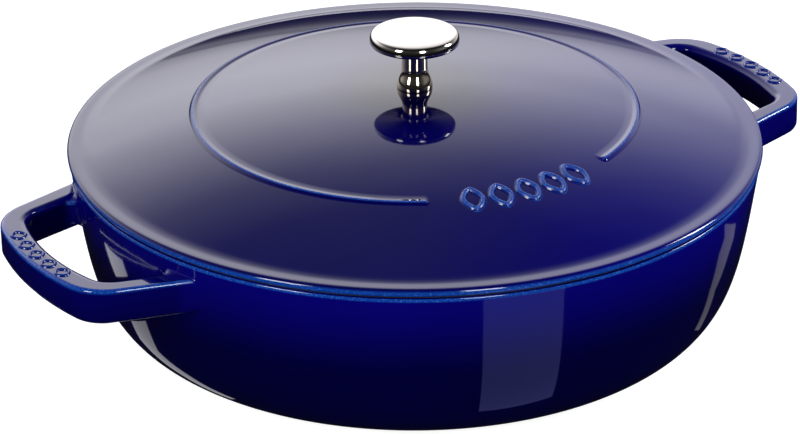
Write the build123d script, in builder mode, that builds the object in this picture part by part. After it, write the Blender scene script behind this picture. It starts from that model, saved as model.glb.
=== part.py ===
from build123d import *
import os
from math import asin, cos, radians, sin, sqrt, tan

# Round shallow braiser: a cast iron pot with two loop handles, a domed cast iron lid and a turned
# metal knob held by a screw from below. Millimetres, +Z up, the origin on the table under the
# middle of the pot, the handles along X and the gap in the lid's raised ring towards -Y.

# Pot casting
rim_height = 74.0
rim_radius = 143.4
wall_thickness = 4.0
floor_thickness = 4.6
wall_draft_degrees = 8.1
wall_run = 46.0
foot_radius = 104.0
corner_reach = 33.0
foot_ring_width = 18.0
foot_recess_depth = 0.8
foot_recess_slope_degrees = 45
rim_round = 1.2

# Loop handles: the outline of the top face, and what the bottom face loses to the draft
handle_drop = 6.8
handle_depth = 15.2
handle_root_inset = 6.6
handle_root_half_width = 54.6
handle_corner_overhang = 29.2
handle_corner_half_width = 41.0
handle_bow = 7.2
handle_corner_round = 21.5
handle_side_draft = 1.1
handle_bow_draft = 2.1
handle_corner_round_draft = 7.0
handle_top_round = 2.0
handle_bottom_round = 3.2
handle_root_round = 3.6

# Finger openings in the loop handles, which widen downwards
bar_width = 9.2
arm_width = 5.0
arm_root_width = 10.0
opening_bow = 6.1
opening_corner_round = 11.0
opening_side_draft = 0.6
opening_end_draft = 1.8
opening_top_round = 1.4
opening_bottom_round = 2.2

# Lid casting
lid_overhang = 0.6
flange_thickness = 4.4
band_width = 9.4
dome_rise = 20.3
lid_thickness = 3.9
valley_round = 16.0
skirt_clearance = 1.0
skirt_drop = 5.0
skirt_thickness = 3.4
skirt_round = 1.1

# Raised ring on the dome, a round bead open towards -Y
ring_radius = 92.0
ring_width = 4.0
ring_height = 1.3
ring_gap_degrees = 53.5
ring_gap_centre_degrees = 267.0

# Drip studs under the dome, in circles around the knob's screw
stud_height = 2.8
stud_root_depth = 2.0
stud_root_radius = 3.2
stud_tip_radius = 1.9
stud_tip_round = 1.1
stud_first_circle_radius = 30.0
stud_circle_pitch = 20.0
stud_circles = 5
studs_in_first_circle = 8
studs_added_per_circle = 5

# Knob
knob_height = 24.0
knob_seat_radius = 8.2
knob_foot_radius = 6.9
knob_bulge_radius = 7.4
knob_bulge_height = 1.7
knob_neck_radius = 5.4
knob_neck_height = 9.4
knob_neck_top_height = 12.6
knob_cap_radius = 18.5
knob_cap_height = 20.0
knob_cap_underside_height = 17.4
knob_cap_lip = 1.2
knob_shoulder_radius = 17.5
knob_shoulder_height = 23.1
knob_bore_spare_depth = 1.5
drill_point_degrees = 118.0

# Screw that holds the knob, and its washer
screw_radius = 3.0
screw_engagement = 11.0
screw_tip_chamfer = 0.6
thread_clearance = 0.05
screw_hole_clearance = 0.3
screw_head_radius = 5.8
screw_head_height = 3.4
screw_head_round = 1.4
screw_slot_width = 1.4
screw_slot_depth = 1.7
pad_radius = 9.5
pad_drop = 1.2
washer_radius = 7.0
washer_thickness = 1.2
washer_bore_clearance = 0.2

# One overrun for every cut
overrun = 10.0

# Shares of a curve's height or width at which its control points stand
waist_pull_share = 0.42
flare_pull_share = 0.9
flare_reach_share = 0.35

# Worked out from the sizes above
draft = radians(wall_draft_degrees)
rim_bore_radius = rim_radius - wall_thickness / cos(draft)
corner_radius = foot_radius + corner_reach
handle_top = rim_height - handle_drop
handle_bottom = handle_top - handle_depth
handle_root = sqrt((rim_radius - handle_root_inset) ** 2 - handle_root_half_width**2)
handle_corner = rim_radius + handle_corner_overhang
opening_corner = handle_corner - bar_width
opening_half_width = handle_corner_half_width - arm_width
opening_root_half_width = handle_root_half_width - arm_root_width
flange_top = rim_height + flange_thickness
flange_round = flange_thickness / 2
lid_radius = rim_radius + lid_overhang
band_radius = lid_radius - band_width
dome_radius = (band_radius**2 + dome_rise**2) / (2 * dome_rise)
dome_centre = flange_top + dome_rise - dome_radius
skirt_radius = rim_bore_radius - skirt_clearance
skirt_bore_radius = skirt_radius - skirt_thickness
skirt_bottom = rim_height - skirt_drop
screw_hole_radius = screw_radius + screw_hole_clearance
knob_bore_radius = screw_radius + thread_clearance
knob_bore_depth = screw_engagement + knob_bore_spare_depth

# The bead's middle lies under the dome, so that only its back stands out of the surface
bead_radius = ((ring_width / 2) ** 2 + ring_height**2) / (2 * ring_height)
bead_tilt = asin(ring_radius / dome_radius)
bead_centre_radius = ring_radius - (bead_radius - ring_height) * sin(bead_tilt)
bead_centre_height = dome_centre + (dome_radius - bead_radius + ring_height) * cos(bead_tilt)
ring_start_degrees = ring_gap_centre_degrees + ring_gap_degrees / 2
ring_start_direction = Vector(1, 0, 0).rotate(Axis.Z, ring_start_degrees)
ring_start_plane = Plane((0, 0, 0), ring_start_direction, ring_start_direction.rotate(Axis.Z, -90))


def dome_height(radius, depth):
    """Height on the dome at a radius, a depth below its upper side."""
    return dome_centre + sqrt((dome_radius - depth) ** 2 - radius**2)


knob_seat = dome_height(knob_seat_radius, 0)
pad_face = dome_height(0, lid_thickness) - pad_drop
washer_face = pad_face - washer_thickness
screw_tip = knob_seat + screw_engagement


def wall_curve(top_radius, low_radius, low):
    """One side of the wall: nearly straight from the rim, then round into the floor."""
    return Bezier(
        (top_radius, rim_height),
        (top_radius - wall_run * sin(draft), rim_height - wall_run * cos(draft)),
        (low_radius, low),
        (foot_radius, low),
    )


def loop_outline(root_y, corner_x, corner_y, bow, corner_round):
    """Outline of a loop handle or of its opening, bowed outwards between two round corners."""
    with BuildSketch() as outline:
        with BuildLine():
            Polyline(
                (corner_x, -corner_y),
                (handle_root, -root_y),
                (handle_root, root_y),
                (corner_x, corner_y),
            )
            ThreePointArc((corner_x, corner_y), (corner_x + bow, 0), (corner_x, -corner_y))
        make_face()
        fillet(outline.vertices().group_by(Axis.X)[-1], corner_round)
    return outline.sketch


handle_top_outline = loop_outline(
    handle_root_half_width,
    handle_corner,
    handle_corner_half_width,
    handle_bow,
    handle_corner_round,
)
handle_bottom_outline = loop_outline(
    handle_root_half_width - handle_side_draft,
    handle_corner,
    handle_corner_half_width - handle_side_draft,
    handle_bow - handle_bow_draft,
    handle_corner_round - handle_corner_round_draft,
)
opening_top_outline = loop_outline(
    opening_root_half_width,
    opening_corner,
    opening_half_width,
    opening_bow,
    opening_corner_round,
)
opening_bottom_outline = loop_outline(
    opening_root_half_width + opening_side_draft,
    opening_corner + opening_end_draft,
    opening_half_width + opening_side_draft,
    opening_bow,
    opening_corner_round,
)

# Loop handle, drafted on every side like the casting that it belongs to
with BuildPart() as handle:
    with BuildSketch(Plane.XY.offset(handle_top)):
        add(handle_top_outline)
    with BuildSketch(Plane.XY.offset(handle_bottom)):
        add(handle_bottom_outline)
    loft()
    fillet(handle.edges().group_by(Axis.Z)[-1].sort_by(Axis.X)[1:], handle_top_round)
    fillet(handle.edges().group_by(Axis.Z)[0].sort_by(Axis.X)[1:], handle_bottom_round)
    # Finger opening, whose edges leave out the two ends that are buried in the wall
    with BuildSketch(Plane.XY.offset(handle_top)):
        add(opening_top_outline)
    with BuildSketch(Plane.XY.offset(handle_bottom)):
        add(opening_bottom_outline)
    loft(mode=Mode.SUBTRACT)
    opening_edges = handle.edges(Select.LAST).group_by(Axis.Z)
    fillet(opening_edges[-1].sort_by(Axis.X)[2:], opening_top_round)
    fillet(opening_edges[0].sort_by(Axis.X)[2:], opening_bottom_round)

# Pot: turned wall and floor, the handles grown onto them, then hollowed out
with BuildPart() as pot:
    with BuildSketch(Plane.YZ):
        with BuildLine():
            outer = wall_curve(rim_radius, corner_radius, 0)
            Polyline(outer @ 1, (0, 0), (0, rim_height), outer @ 0)
        make_face()
    revolve(axis=Axis.Z)
    with PolarLocations(0, 2):
        add(handle.part)
    wall_face = pot.faces().sort_by(SortBy.AREA)[-1]
    handle_roots = wall_face.edges().filter_by_position(Axis.Z, handle_bottom, handle_top)
    fillet(handle_roots, handle_root_round)
    with BuildSketch(Plane.YZ):
        with BuildLine():
            inner = wall_curve(rim_bore_radius, corner_radius - wall_thickness, floor_thickness)
            Polyline(inner @ 1, (0, floor_thickness), (0, rim_height), inner @ 0)
        make_face()
    revolve(axis=Axis.Z, mode=Mode.SUBTRACT)
    fillet(pot.edges().group_by(Axis.Z)[-1], rim_round)
    with BuildSketch():
        Circle(foot_radius - foot_ring_width)
    extrude(amount=foot_recess_depth, taper=foot_recess_slope_degrees, mode=Mode.SUBTRACT)
pot.part.label = "pot"

# One drip stud, pointing down from a root that is sunk into the underside of the dome
with BuildPart() as stud:
    with BuildSketch(Plane.XZ):
        with BuildLine():
            Polyline(
                (0, stud_root_depth),
                (stud_root_radius, stud_root_depth),
                (stud_root_radius, 0),
                (stud_tip_radius, -stud_height),
                (0, -stud_height),
                close=True,
            )
        make_face()
    revolve(axis=Axis.Z)
    fillet(stud.edges().group_by(Axis.Z)[0], stud_tip_round)

# Lid: dome, flange and locating skirt turned in one
with BuildPart() as lid:
    with BuildSketch(Plane.YZ) as lid_profile:
        with BuildLine():
            dome_foot = (band_radius, flange_top)
            seat_edge = (knob_seat_radius, knob_seat)
            dome_middle = (band_radius + knob_seat_radius) / 2
            Line((0, knob_seat), seat_edge)
            ThreePointArc(seat_edge, (dome_middle, dome_height(dome_middle, 0)), dome_foot)
            Line(dome_foot, (lid_radius - flange_round, flange_top))
            ThreePointArc(
                (lid_radius - flange_round, flange_top),
                (lid_radius, rim_height + flange_round),
                (lid_radius - flange_round, rim_height),
            )
            dome_root = (skirt_bore_radius, dome_height(skirt_bore_radius, lid_thickness))
            pad_edge = (pad_radius, dome_height(pad_radius, lid_thickness))
            Polyline(
                (lid_radius - flange_round, rim_height),
                (skirt_radius, rim_height),
                (skirt_radius, skirt_bottom),
                (skirt_bore_radius, skirt_bottom),
                dome_root,
            )
            ThreePointArc(dome_root, (dome_middle, dome_height(dome_middle, lid_thickness)), pad_edge)
            Polyline(pad_edge, (pad_radius, pad_face), (0, pad_face), (0, knob_seat))
        make_face()
        fillet(lid_profile.vertices().sort_by_distance(dome_foot)[0], valley_round)
    revolve(axis=Axis.Z)
    fillet(lid.edges().group_by(Axis.Z)[0], skirt_round)

    # Raised ring: a round bead sunk into the dome, with a ball at each end
    with BuildSketch(ring_start_plane):
        with Locations((bead_centre_radius, bead_centre_height)):
            Circle(bead_radius)
    revolve(axis=Axis.Z, revolution_arc=360 - ring_gap_degrees)
    with Locations((0, 0, bead_centre_height)):
        with PolarLocations(bead_centre_radius, 2, ring_start_degrees, -ring_gap_degrees, endpoint=True):
            Sphere(bead_radius)

    # Drip studs
    for circle in range(stud_circles):
        circle_radius = stud_first_circle_radius + circle * stud_circle_pitch
        with Locations((0, 0, dome_height(circle_radius, lid_thickness))):
            with PolarLocations(circle_radius, studs_in_first_circle + circle * studs_added_per_circle):
                add(stud.part)

    # Screw hole through the crown
    with BuildSketch(Plane.XY.offset(pad_face)):
        Circle(screw_hole_radius)
    extrude(amount=knob_seat - pad_face + overrun, mode=Mode.SUBTRACT)
lid.part.label = "lid"

# Knob, turned in one piece, with the blind tapped hole for its screw
with BuildPart() as knob:
    with BuildSketch(Plane(origin=(0, 0, knob_seat), x_dir=(1, 0, 0), z_dir=(0, -1, 0))):
        with BuildLine():
            waist_pull = (knob_neck_height - knob_bulge_height) * waist_pull_share
            flare_pull = (knob_cap_underside_height - knob_neck_top_height) * flare_pull_share
            flare_reach = (knob_cap_radius - knob_neck_radius) * flare_reach_share
            shoulder_pull = (knob_shoulder_height - knob_cap_height) / 2
            lip_radius = knob_cap_radius - knob_cap_lip
            lip_height = knob_cap_height - knob_cap_lip
            drill_point = knob_bore_radius / tan(radians(drill_point_degrees / 2))
            Line((knob_bore_radius, 0), (knob_foot_radius, 0))
            Bezier(
                (knob_foot_radius, 0),
                (knob_bulge_radius, 0),
                (knob_bulge_radius, knob_bulge_height),
            )
            Bezier(
                (knob_bulge_radius, knob_bulge_height),
                (knob_bulge_radius, knob_bulge_height + waist_pull),
                (knob_neck_radius, knob_neck_height - waist_pull),
                (knob_neck_radius, knob_neck_height),
            )
            Line((knob_neck_radius, knob_neck_height), (knob_neck_radius, knob_neck_top_height))
            Bezier(
                (knob_neck_radius, knob_neck_top_height),
                (knob_neck_radius, knob_neck_top_height + flare_pull),
                (knob_neck_radius + flare_reach, knob_cap_underside_height),
                (lip_radius, lip_height),
            )
            Bezier(
                (lip_radius, lip_height),
                (knob_cap_radius, lip_height),
                (knob_cap_radius, knob_cap_height),
            )
            Bezier(
                (knob_cap_radius, knob_cap_height),
                (knob_cap_radius, knob_cap_height + shoulder_pull),
                (knob_cap_radius, knob_shoulder_height),
                (knob_shoulder_radius, knob_shoulder_height),
            )
            TangentArc((0, knob_height), (knob_shoulder_radius, knob_shoulder_height), tangent=(1, 0))
            Polyline(
                (0, knob_height),
                (0, knob_bore_depth + drill_point),
                (knob_bore_radius, knob_bore_depth),
                (knob_bore_radius, 0),
            )
        make_face()
    revolve(axis=Axis.Z)
knob.part.label = "knob"

# Screw, driven from inside the lid: a pan head with a slot, a washer above it
with BuildPart() as knob_screw:
    with BuildSketch(Plane.XY.offset(washer_face - screw_head_height)):
        Circle(screw_head_radius)
    extrude(amount=screw_head_height)
    fillet(knob_screw.edges().group_by(Axis.Z)[0], screw_head_round)
    with BuildSketch(Plane.XY.offset(washer_face)):
        Circle(screw_radius)
    extrude(amount=screw_tip - washer_face)
    chamfer(knob_screw.edges().group_by(Axis.Z)[-1], screw_tip_chamfer)
    with BuildSketch(Plane.XY.offset(washer_face - screw_head_height)):
        Rectangle(2 * screw_head_radius + overrun, screw_slot_width)
    extrude(amount=screw_slot_depth, mode=Mode.SUBTRACT)
knob_screw.part.label = "knob_screw"

with BuildPart() as washer:
    with BuildSketch(Plane.XY.offset(washer_face)):
        Circle(washer_radius)
        Circle(screw_radius + washer_bore_clearance, mode=Mode.SUBTRACT)
    extrude(amount=washer_thickness)
washer.part.label = "washer"

os.makedirs("parts", exist_ok=True)
for piece in (pot, lid, knob, knob_screw, washer):
    export_step(piece.part, f"parts/{piece.part.label}.step")
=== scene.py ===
from math import asin, atan2, copysign, cos, pi, radians, sin, sqrt, tan

import bmesh
import bpy
import numpy as np
from mathutils import Matrix, Vector


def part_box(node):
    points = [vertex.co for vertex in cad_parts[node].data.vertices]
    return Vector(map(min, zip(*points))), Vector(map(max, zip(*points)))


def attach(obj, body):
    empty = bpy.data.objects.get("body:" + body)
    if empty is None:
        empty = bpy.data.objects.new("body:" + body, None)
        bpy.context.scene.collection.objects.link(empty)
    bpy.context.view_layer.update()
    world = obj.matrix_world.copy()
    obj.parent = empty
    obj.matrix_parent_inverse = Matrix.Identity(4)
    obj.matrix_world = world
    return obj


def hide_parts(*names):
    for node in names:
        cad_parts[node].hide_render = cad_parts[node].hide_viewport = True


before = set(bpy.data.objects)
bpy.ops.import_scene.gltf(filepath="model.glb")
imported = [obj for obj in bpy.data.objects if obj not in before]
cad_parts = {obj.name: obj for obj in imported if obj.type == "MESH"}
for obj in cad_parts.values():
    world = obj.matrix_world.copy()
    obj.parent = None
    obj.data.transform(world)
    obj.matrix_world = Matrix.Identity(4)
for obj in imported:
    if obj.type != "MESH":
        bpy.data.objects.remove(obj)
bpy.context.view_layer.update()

# A round shallow braiser in blue glazed cast iron: a pot with two loop handles, a domed lid with
# a raised ring, and a turned metal knob. Metres, +Z up, the origin on the table under the pot.

bl_info = {
    "name": "Glazed braiser",
    "version": (1, 0, 0),
    "blender": (4, 5, 0),
    "location": "View3D > Sidebar > Braiser",
    "description": "Models a glazed cast iron braiser piece by piece around its packed frame",
    "category": "Mesh",
}


def length(name, description, default):
    return bpy.props.FloatProperty(
        name=name, description=description, default=default, min=0.0, unit="LENGTH", precision=4
    )


def angle(name, description, degrees):
    return bpy.props.FloatProperty(
        name=name, description=description, default=radians(degrees), subtype="ANGLE"
    )


def colour(name, description, default):
    return bpy.props.FloatVectorProperty(
        name=name, description=description, default=default, min=0.0, max=1.0, subtype="COLOR"
    )


def count(name, description, default):
    return bpy.props.IntProperty(name=name, description=description, default=default, min=1)


def number(name, description, default):
    return bpy.props.FloatProperty(name=name, description=description, default=default)


class BRAISER_PG_pot(bpy.types.PropertyGroup):
    rim_height: length("Rim height", "Height of the rim above the table", 0.074)
    rim_radius: length("Rim radius", "Outer radius of the pot at its rim", 0.1434)
    wall: length("Wall", "Thickness of the wall", 0.004)
    floor: length("Floor", "Thickness of the floor", 0.0046)
    draft: angle("Draft", "Lean of the wall below the rim", 8.1)
    wall_run: length("Wall run", "Length over which the wall runs nearly straight", 0.046)
    foot_radius: length("Foot radius", "Radius at which the floor starts to round up", 0.104)
    corner_reach: length("Corner reach", "How far the round corner reaches past the foot", 0.033)
    foot_ring: length("Foot ring", "Width of the ground ring that the pot stands on", 0.018)
    recess: length("Recess", "Depth of the recess inside the foot ring", 0.0008)
    rim_round: length("Rim round", "Radius of the rim's inner edge", 0.0012)
    rim_step: length("Rim step", "How far the rim's outer ledge lies under its top", 0.0010)
    rim_ledge: length("Rim ledge", "Width of the rim's outer ledge", 0.0018)
    rim_lip: length("Rim lip", "Height over which the ledge rounds over into the wall", 0.0014)
    steps: count("Steps", "Faces around the pot", 240)


class BRAISER_PG_handle(bpy.types.PropertyGroup):
    drop: length("Drop", "Height of the rim above the handles' top", 0.0068)
    depth: length("Depth", "Height of the loop from its top to its bottom face", 0.0152)
    root: length("Root", "Distance from the axis at which the outlines start", 0.1254)
    root_half: length("Root half width", "Half width of the loop at its root", 0.0546)
    corner: length("Corner", "Distance from the axis of the loop's corners", 0.1726)
    corner_half: length("Corner half width", "Half width of the loop at its corners", 0.041)
    bow: length("Bow", "How far the bar bows out between its corners", 0.0070)
    corner_round: length("Corner round", "Radius of the loop's corners", 0.0215)
    bar: length("Bar", "Width of the bar", 0.0106)
    arm: length("Arm", "Width of the arms at the corners", 0.006)
    arm_root: length("Arm root", "Width of the arms at the root", 0.011)
    opening_bow: length("Opening bow", "How far the opening's end bows out", 0.0061)
    opening_round: length("Opening round", "Radius of the opening's corners", 0.011)
    root_round: length("Root round", "Radius where the handle grows out of the wall", 0.0046)


class BRAISER_PG_lid(bpy.types.PropertyGroup):
    radius: length("Radius", "Outer radius of the lid", 0.14395)
    flange: length("Flange", "Thickness of the lid's edge", 0.0032)
    band: length("Band", "Width of the flat band round the dome", 0.0076)
    rise: length("Rise", "Height of the dome above the band", 0.0208)
    thickness: length("Thickness", "Thickness of the dome", 0.0033)
    skirt_radius: length("Skirt radius", "Outer radius of the skirt inside the rim", 0.13836)
    skirt: length("Skirt", "Thickness of the skirt", 0.0034)
    skirt_drop: length("Skirt drop", "How far the skirt reaches below the rim", 0.005)
    ring_radius: length("Ring radius", "Radius of the raised ring's crest", 0.0916)
    ring_height: length("Ring height", "Height of the ring above the dome", 0.0010)
    ring_inside: length("Ring inside", "Width of the ring's soft rise from inside", 0.0055)
    ring_outside: length("Ring outside", "Width of the ring's steeper fall to its outside", 0.0028)
    ring_end: length("Ring end", "Length over which an end of the ring is rounded off", 0.0030)
    ring_gap: angle("Ring gap", "Angle over which the ring is open", 53.5)
    ring_middle: angle("Gap middle", "Direction of the middle of the gap", 267.0)
    steps: count("Steps", "Faces around the lid", 288)


class BRAISER_PG_knob(bpy.types.PropertyGroup):
    height: length("Height", "Height of the knob above the lid", 0.0247)
    cap: length("Cap radius", "Radius of the knob's cap", 0.0185)
    neck: length("Neck radius", "Radius of the knob's neck", 0.0054)
    bulge: length("Bulge radius", "Radius of the bulge above the seat", 0.0074)
    steps: count("Steps", "Faces around the knob", 160)


class BRAISER_PG_finish(bpy.types.PropertyGroup):
    glaze: colour("Glaze", "The glaze where it is thick", (0.0018, 0.0006, 0.150))
    thin_glaze: colour("Thin glaze", "The glaze where it is drawn thin over an edge", (0.004, 0.055, 0.36))
    worn_glaze: colour("Thinnest glaze", "The glaze at grains that nearly show through", (0.05, 0.22, 0.62))
    matt: colour("Inside", "The matt black enamel inside", (0.012, 0.012, 0.013))
    nickel: colour("Nickel", "The polished knob", (0.62, 0.585, 0.545))
    # The warmer nickel below the cap is a painted reflection: it tints what the neck and bulge mirror
    # warmer
    warm_nickel: colour("Warm nickel", "The knob's neck, where the plating is warmer", (0.61, 0.535, 0.44))
    steel: colour("Steel", "The screw and its washer", (0.50, 0.50, 0.50))


# Height of a direction, 0 straight down, a half level and 1 straight up, and the glow's share there
GLOW_SHARES = (
    (0.0, 0.0),
    (0.455, 0.08),
    (0.505, 0.24),
    (0.545, 0.50),
    (0.585, 0.68),
    (0.625, 0.87),
    (0.685, 1.0),
    (0.745, 0.76),
    (0.785, 0.52),
    (0.83, 0.24),
    (0.88, 0.08),
    (1.0, 0.03),
)

# A row of lozenges stands on each handle's bar and in the gap of the lid's ring: their numbers
# from the row's middle, and how deep their feet are sunk
LOZENGES = (-2, -1, 0, 1, 2)
LOZENGE_SINK = 0.0001
HANDLE_LOZENGE = {"width": 0.0072, "height": 0.0076, "band": 0.0015, "lift": 0.0008}
HANDLE_PITCH = 0.0096
LID_LOZENGE = {"width": 0.0104, "height": 0.0150, "band": 0.0025, "lift": 0.0014}
LID_PITCH = radians(7.35)

# Pale cards that the wall mirrors, each as the pairs of points along its two sides, to the right
# of and ahead of the pot's middle
FRONT_CARD = (((0.0657, -0.2350), (0.1500, -0.2037)), ((0.0275, -0.1335), (0.0620, -0.1245)))
LEFT_CARD = (
    ((-0.1392, -0.0478), (-0.1443, -0.0638)),
    ((-0.1246, -0.0551), (-0.1284, -0.0686)),
    ((-0.1161, -0.0629), (-0.1179, -0.0709)),
    ((-0.0980, -0.0802), (-0.0981, -0.0863)),
    ((-0.0757, -0.0974), (-0.0749, -0.1006)),
)
ROOT_CARD = (((-0.1920, 0.0034), (-0.1728, -0.0236)), ((-0.1898, -0.0309), (-0.1789, -0.0407)))
RIGHT_CARD = (
    ((0.2061, 0.0017), (0.1942, 0.0258)),
    ((0.1955, -0.0005), (0.1852, 0.0179)),
    ((0.1857, -0.0147), (0.1771, 0.0013)),
    ((0.1613, -0.0340), (0.1578, -0.0269)),
    ((0.1297, -0.0538), (0.1275, -0.0484)),
)
UPPER_THREAD = (
    ((-0.1971, 0.0152), (-0.1967, 0.0152)),
    ((-0.1990, -0.0107), (-0.1986, -0.0107)),
    ((-0.1983, -0.0342), (-0.1979, -0.0341)),
    ((-0.1946, -0.0576), (-0.1942, -0.0574)),
    ((-0.1870, -0.0816), (-0.1867, -0.0814)),
)
LOWER_THREAD = (
    ((-0.1922, 0.0034), (-0.1918, 0.0034)),
    ((-0.1933, -0.0155), (-0.1929, -0.0155)),
    ((-0.1935, -0.0346), (-0.1931, -0.0346)),
    ((-0.1911, -0.0575), (-0.1907, -0.0574)),
    ((-0.1870, -0.0816), (-0.1867, -0.0814)),
)

# The colour and strength of each card
CARDS = {
    "front_card": (FRONT_CARD, (0.31, 0.34, 1.0), 0.85),
    "left_card": (LEFT_CARD, (0.93, 0.93, 1.0), 0.9),
    "root_card": (ROOT_CARD, (0.93, 0.93, 1.0), 1.35),
    "right_card": (RIGHT_CARD, (1.0, 0.95, 1.0), 0.30),
    "upper_thread": (UPPER_THREAD, (0.93, 0.93, 1.0), 1.6),
    "lower_thread": (LOWER_THREAD, (0.93, 0.93, 1.0), 1.6),
}

# Tall softboxes: the turn from the camera's side, the width and the strength
SOFTBOXES = {
    "left_softbox": (radians(-42), 0.50, 14.0),
    "right_softbox": (radians(21), 0.42, 14.0),
    "side_softbox": (radians(100), 0.40, 24.0),
}
SOFTBOX_HEIGHT = 0.9
SOFTBOX_RISE = 0.9
SOFTBOX_DISTANCE = 1.9
SOFTBOX_AIM = (0.0, 0.0, 0.1)

# A soft overhead lamp
OVERHEAD_PLACE = (0.0, 0.0, 2.2)
OVERHEAD_AIM = (0.0, 0.0, 0.05)
OVERHEAD_SIZE = (1.2, 1.2)
OVERHEAD_POWER = 12.0

# The camera's place, and how far its frame is shifted, in shares of its width
CAMERA_PLACE = (-0.6605, -1.0595, 0.6452)
CAMERA_SHIFT = (-0.006875, 0.000625)


class BRAISER_PG_stage(bpy.types.PropertyGroup):
    lens: number("Lens", "Focal length in mm", 148.6)
    tilt: angle("Tilt", "How far the camera looks down", 25.94)
    heading: angle("Heading", "Direction of the view from +Y", -31.753)
    roll: angle("Roll", "Turn of the camera about its own axis", -0.30)
    floor_radius: length("Floor radius", "Radius of the floor", 12.0)
    tray_radius: length("Tray radius", "Radius of the black tray seen only in the glaze", 5.0)
    tray_wall: length("Tray wall", "Height of the black tray's wall", 0.15)
    tray_lift: length("Tray lift", "Height of the black tray above the floor", 0.0006)
    glow: number("Glow", "Strength of the glow behind", 2.85)
    dim: number("Dim", "Light of the room's dark side", 0.012)


def reach(x, y):
    """Distance from the Z axis, of numbers or of shader values."""
    return (x * x + y * y) ** 0.5


def arc_radius(half, rise):
    """Radius of an arc from half its chord and its rise."""
    return (half**2 + rise**2) / (2 * rise)


# Shader arithmetic


class Value:
    """A number in a shader: Python's arithmetic on it adds Math nodes."""

    def __init__(self, shader, socket):
        self.shader = shader
        self.socket = socket

    def math(self, operation, left, right):
        return self.shader.node("ShaderNodeMath", {"operation": operation}, {0: left, 1: right})

    def __add__(self, other):
        return self.math("ADD", self, other)

    __radd__ = __add__

    def __sub__(self, other):
        return self.math("SUBTRACT", self, other)

    def __rsub__(self, other):
        return self.math("SUBTRACT", other, self)

    def __mul__(self, other):
        return self.math("MULTIPLY", self, other)

    __rmul__ = __mul__

    def __pow__(self, other):
        return self.math("POWER", self, other)

    def step(self, start, end):
        """0 before start, 1 after end, and smooth between them."""
        return self.shader.node(
            "ShaderNodeMapRange",
            {"interpolation_type": "SMOOTHSTEP"},
            {"Value": self, "From Min": start, "From Max": end},
        )

    def band(self, start, full, last, end):
        """1 between full and last, 0 before start and after end, and smooth between them."""
        return self.step(start, full) * (1.0 - self.step(last, end))


class Shader:
    """The nodes of one material or world, from its texture coordinates to its output."""

    def __init__(self, owner):
        owner.use_nodes = True
        self.tree = owner.node_tree
        self.tree.nodes.clear()

    def node(self, kind, settings=None, inputs=None, output=0):
        """Adds a node: its settings come first, then the values or links of its sockets."""
        made = self.tree.nodes.new(kind)
        for name, value in (settings or {}).items():
            if name == "stops":
                stops = made.color_ramp.elements
                while len(stops) < len(value):
                    stops.new(0.5)
                for stop, (position, share) in zip(stops, value):
                    stop.position = position
                    stop.color = (share, share, share, 1.0)
            else:
                setattr(made, name, value)
        for name, value in (inputs or {}).items():
            socket = made.inputs[name]
            if isinstance(value, Value):
                self.tree.links.new(value.socket, socket)
            elif socket.type == "RGBA":
                socket.default_value = (*value, 1.0)
            else:
                socket.default_value = value
        return Value(self, made.outputs[output]) if made.outputs else None

    def place(self):
        return self.node("ShaderNodeTexCoord", output="Object")

    def split(self, vector):
        parts = self.node("ShaderNodeSeparateXYZ", None, {0: vector}).socket.node
        return [Value(self, parts.outputs[axis]) for axis in range(3)]

    def noise(self, vector, scale, detail=2.0, roughness=0.5):
        settings = {"Vector": vector, "Scale": scale, "Detail": detail, "Roughness": roughness}
        return self.node("ShaderNodeTexNoise", None, settings)

    def mix(self, share, first, second):
        """A colour between two: the Mix node has its colours at sockets 6 and 7, and gives its own
        at output 2."""
        return self.node("ShaderNodeMix", {"data_type": "RGBA"}, {0: share, 6: first, 7: second}, 2)

    def bump(self, height, strength, distance):
        inputs = {"Height": height, "Strength": strength, "Distance": distance}
        return self.node("ShaderNodeBump", None, inputs)

    def surface(self, kind, inputs, output="ShaderNodeOutputMaterial"):
        """Adds the last shader and joins it to the output."""
        self.node(output, None, {"Surface": self.node(kind, None, inputs)})


def new_material(name):
    material = bpy.data.materials.new(name)
    return material, Shader(material)


# Finishes of the object


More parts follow.
